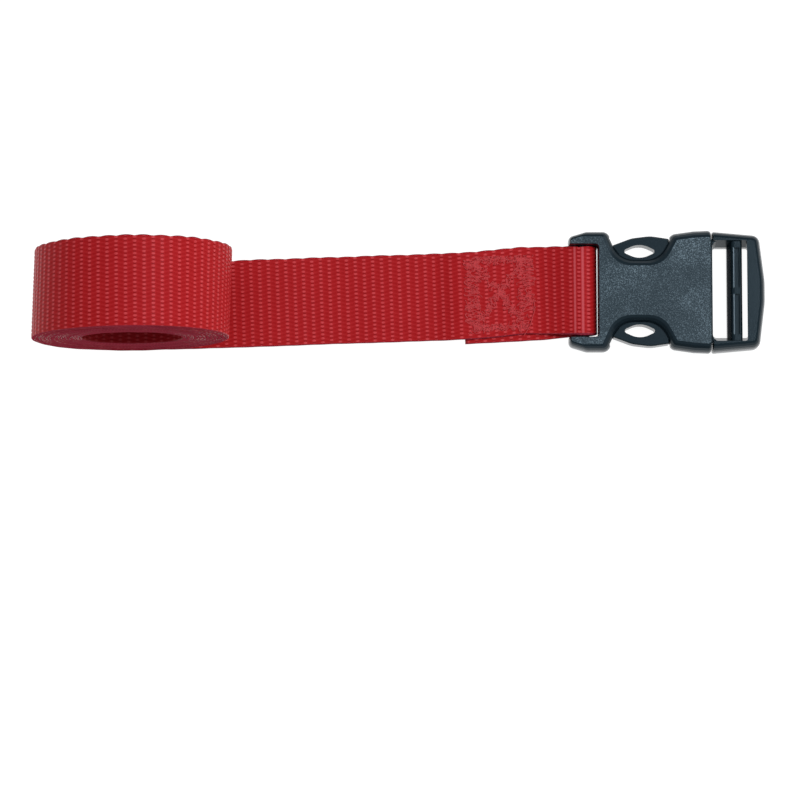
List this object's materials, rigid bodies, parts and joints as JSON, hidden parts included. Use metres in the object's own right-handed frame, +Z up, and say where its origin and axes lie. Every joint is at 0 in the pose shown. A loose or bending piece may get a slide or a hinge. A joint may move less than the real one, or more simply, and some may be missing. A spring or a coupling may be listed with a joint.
{
  "type": "luggage strap",
  "caption": "Woven luggage strap wound into a roll, with its sewn end looped round the fixed bar of a side-release buckle whose squeeze arms free the male half.",
  "frame": {"origin": "bottom centre of the whole object's box, on the surface that the strap lies on and on the buckle's middle line", "axes": "+X from the roll to the buckle, +Y across the webbing, +Z up from the surface"},
  "size_m": [0.2042, 0.0348, 0.0542],
  "materials": {
    "webbing": "red ribbed polypropylene webbing with a slight sheen",
    "thread": "red polyester sewing thread",
    "buckle_plastic": "black acetal with a fine spark-eroded grain on the flat faces and smoother rounded edges"
  },
  "bodies": {
    "strap": {"webbing_roll": "webbing", "webbing_tail": "webbing", "webbing_loop": "webbing", "seam_thread_upper": "thread", "seam_thread_lower": "thread"},
    "housing": {"female_housing": "buckle_plastic"},
    "insert": {"male_frame": "buckle_plastic"},
    "left_arm": {"left_release_arm": "buckle_plastic"},
    "right_arm": {"right_release_arm": "buckle_plastic"}
  },
  "joints": [
    {"name": "buckle_swivel", "type": "hinge", "parent": "strap", "child": "housing", "pos_m": [0.0507, 0, 0.004], "axis": [0, -1, 0], "range_deg": [-90, 90]},
    {"name": "buckle_slide", "type": "slide", "parent": "housing", "child": "insert", "axis": [1, 0, 0], "range_m": [0, 0.03], "deforming": ["left_release_arm", "right_release_arm"]},
    {"name": "left_arm_squeeze", "type": "hinge", "parent": "insert", "child": "left_arm", "pos_m": [0.0842, 0.0114, 0.0045], "axis": [0, 0, 1], "range_deg": [0, 12], "stiffness_Nm_per_rad": 1.2},
    {"name": "right_arm_squeeze", "type": "hinge", "parent": "insert", "child": "right_arm", "pos_m": [0.0842, -0.0114, 0.0045], "axis": [0, 0, -1], "range_deg": [0, 12], "stiffness_Nm_per_rad": 1.2}
  ]
}
